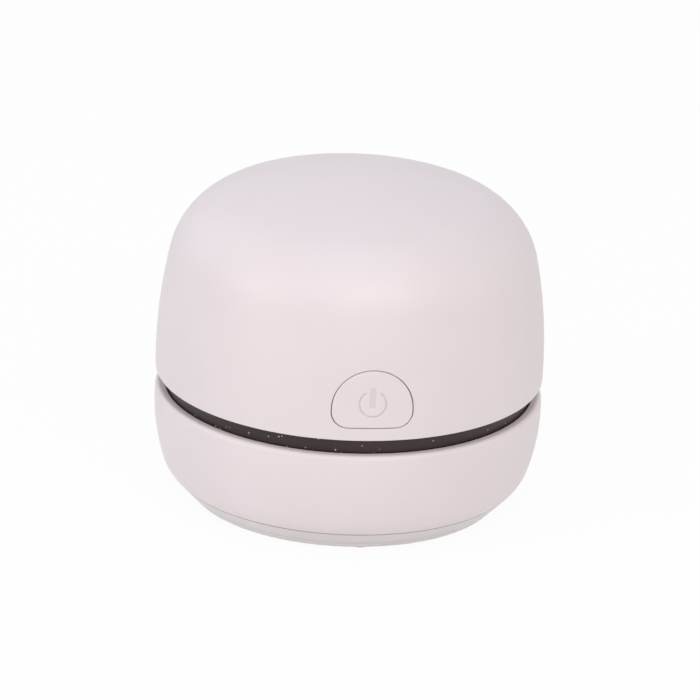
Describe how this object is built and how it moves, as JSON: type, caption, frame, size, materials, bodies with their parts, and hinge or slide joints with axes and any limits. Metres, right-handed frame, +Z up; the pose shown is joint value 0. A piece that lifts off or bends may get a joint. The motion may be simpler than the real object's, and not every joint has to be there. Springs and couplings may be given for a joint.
{
  "type": "desktop mini vacuum cleaner",
  "caption": "Round cordless desk crumb cleaner: a domed power head with a D-shaped push button over a dust bowl, with a dark exhaust slot between them.",
  "frame": {"origin": "centre of the footprint, on the surface that the object stands on", "axes": "+Z up, the direction in which the power head lifts off; -Y towards the power button; +Y towards the charging socket; +X to the right as seen from the button's side"},
  "size_m": [0.084, 0.084, 0.0727],
  "materials": {
    "white_abs": "smooth moulded ABS, satin, warm white",
    "base_grey": "smooth moulded ABS, a little greyer and milkier",
    "housing_dark": "dark grey moulded ABS, matt, with a little dust",
    "inner_grey": "moulded ABS, matt mid grey",
    "bristle_nylon": "extruded nylon bristle, white",
    "soft_rubber": "moulded rubber, black, matt",
    "screw_steel": "zinc-plated steel",
    "filter_cloth": "non-woven filter felt, white",
    "can_steel": "plated steel",
    "magnet": "ferrite and carbon, dark and matt",
    "natural_nylon": "moulded nylon, natural white",
    "bronze": "bronze and brass, satin",
    "copper": "copper, enamelled wire and bars",
    "nickel": "nickel-plated sheet",
    "cell_sleeve": "shrink sleeve, blue, plain",
    "board": "glass-epoxy circuit board, green solder mask",
    "clear": "clear moulded acrylic",
    "switch_black": "black moulded nylon",
    "wire_red": "PVC insulation, red",
    "wire_black": "PVC insulation, black"
  },
  "bodies": {
    "dust_bin": {"dust_bowl": "white_abs", "base_plate": "base_grey", "brush_strips": "bristle_nylon", "glide_pads": "natural_nylon", "base_screws": "screw_steel", "inlet_hood": "white_abs"},
    "filter": {"filter_frame": "inner_grey", "filter_cloth": "filter_cloth", "filter_gasket": "soft_rubber"},
    "power_head": {"top_shell": "white_abs", "fan_housing": "housing_dark", "housing_screws": "screw_steel", "motor_plate": "inner_grey", "motor_damper": "soft_rubber", "motor_screws": "screw_steel", "motor_can": "can_steel", "motor_magnets": "magnet", "motor_end_cap": "natural_nylon", "motor_bushes": "bronze", "motor_brushes": "magnet", "motor_terminals": "bronze", "battery_cradle": "inner_grey", "cradle_screws": "screw_steel", "battery_cell": "cell_sleeve", "battery_tabs": "nickel", "charge_board": "board", "board_screws": "screw_steel", "usb_socket": "nickel", "charge_led": "clear", "led_lens": "clear", "switch_board": "board", "switch_body": "switch_black", "red_wires": "wire_red", "black_wires": "wire_black"},
    "rotor": {"motor_shaft": "can_steel", "armature_core": "can_steel", "armature_windings": "copper", "commutator": "copper", "impeller": "natural_nylon"},
    "button": {"power_button": "white_abs", "switch_plunger": "natural_nylon"}
  },
  "joints": [
    {"name": "head_lift", "type": "slide", "parent": "dust_bin", "child": "power_head", "axis": [0, 0, 1], "range_m": [0, 0.045]},
    {"name": "filter_lift", "type": "slide", "parent": "dust_bin", "child": "filter", "axis": [0, 0, 1], "range_m": [0, 0.0225]},
    {"name": "impeller_spin", "type": "hinge", "parent": "power_head", "child": "rotor", "pos_m": [0, 0, 0.0254], "axis": [0, 0, 1], "continuous": true},
    {"name": "button_press", "type": "slide", "parent": "power_head", "child": "button", "axis": [0, 1, 0], "range_m": [0, 0.0012], "stiffness_N_per_m": 600, "springref_m": -0.0005}
  ],
  "couplings": [
    {"joint": "filter_lift", "follows": "head_lift", "ratio": 0.5}
  ]
}
